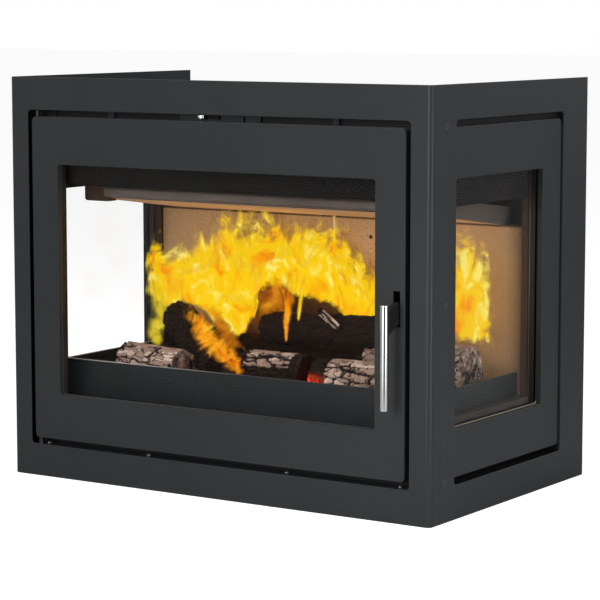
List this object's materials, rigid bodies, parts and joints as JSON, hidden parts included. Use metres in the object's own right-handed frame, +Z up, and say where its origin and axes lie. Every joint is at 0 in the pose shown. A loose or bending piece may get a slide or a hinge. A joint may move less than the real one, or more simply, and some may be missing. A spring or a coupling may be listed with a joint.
{
  "type": "fireplace insert",
  "caption": "Wood-burning fireplace insert with a wide hinged glass door, fixed glass on both sides and a bent black steel surround.",
  "frame": {"origin": "under the middle of the whole box, on the floor that the surround and feet stand on", "axes": "+Z up, +X to the viewer's right along the door, +Y back into the chimney"},
  "size_m": [0.755, 0.51, 0.62],
  "materials": {
    "surround_paint": "satin heat-proof black",
    "body_paint": "matt heat-proof black",
    "heat_steel": "heat-tinted steel",
    "cast_iron": "as cast",
    "stainless": "polished stainless",
    "zinc_steel": "black zinc",
    "fire_glass": "clear ceramic glass",
    "gasket_tape": "woven glass fibre",
    "rope_seal": "knitted glass-fibre rope",
    "vermiculite": "pressed vermiculite board",
    "firewood": "charred split logs"
  },
  "bodies": {
    "root": {"surround_front": "surround_paint", "surround_side_left": "surround_paint", "surround_side_right": "surround_paint", "surround_laps": "surround_paint", "surround_brackets": "surround_paint", "side_frame_left": "surround_paint", "side_frame_right": "surround_paint", "air_guide_plates": "surround_paint", "base_plate": "body_paint", "front_plate": "body_paint", "front_posts": "body_paint", "rear_posts": "body_paint", "back_plate": "body_paint", "top_plate": "body_paint", "flue_collar": "body_paint", "air_inlet_collar": "body_paint", "floor_plates": "body_paint", "floor_supports": "body_paint", "hinge_bracket_upper": "body_paint", "hinge_bracket_lower": "body_paint", "catch_bracket": "body_paint", "inner_back_plate": "heat_steel", "side_wall_left": "heat_steel", "side_wall_right": "heat_steel", "side_air_deflectors": "heat_steel", "front_air_deflector": "heat_steel", "baffle_brackets": "heat_steel", "baffle_rail": "heat_steel", "corner_linings": "heat_steel", "fire_grate": "cast_iron", "log_guard": "cast_iron", "hinge_pin_upper": "stainless", "hinge_pin_lower": "stainless", "catch_pin": "stainless", "surround_side_screws": "zinc_steel", "surround_base_screws": "zinc_steel", "levelling_feet": "zinc_steel", "side_glass_left": "fire_glass", "side_glass_right": "fire_glass", "side_gasket_left": "gasket_tape", "side_gasket_right": "gasket_tape", "hearth_slab_left": "vermiculite", "hearth_slab_right": "vermiculite", "back_lining_left": "vermiculite", "back_lining_right": "vermiculite", "baffle": "vermiculite", "firewood": "firewood"},
    "door": {"door_frame": "surround_paint", "door_glass": "fire_glass", "door_gasket": "gasket_tape", "door_back_ring": "heat_steel", "door_rope_seal": "rope_seal", "hinge_blocks": "body_paint", "lever_bracket": "body_paint", "lever_pin": "stainless"},
    "handle": {"handle_lever": "body_paint", "handle_bar": "stainless"},
    "air_control": {"air_slide": "body_paint", "air_knob": "stainless"}
  },
  "joints": [
    {"name": "door_hinge", "type": "hinge", "parent": "root", "child": "door", "pos_m": [-0.3285, -0.21, 0.31], "axis": [0, 0, -1], "range_deg": [0, 105]},
    {"name": "handle_lift", "type": "hinge", "parent": "door", "child": "handle", "pos_m": [0.32075, -0.201, 0.3], "axis": [-1, 0, 0], "range_deg": [0, 25]},
    {"name": "air_slide", "type": "slide", "parent": "root", "child": "air_control", "axis": [1, 0, 0], "range_m": [-0.005, 0.026]}
  ]
}
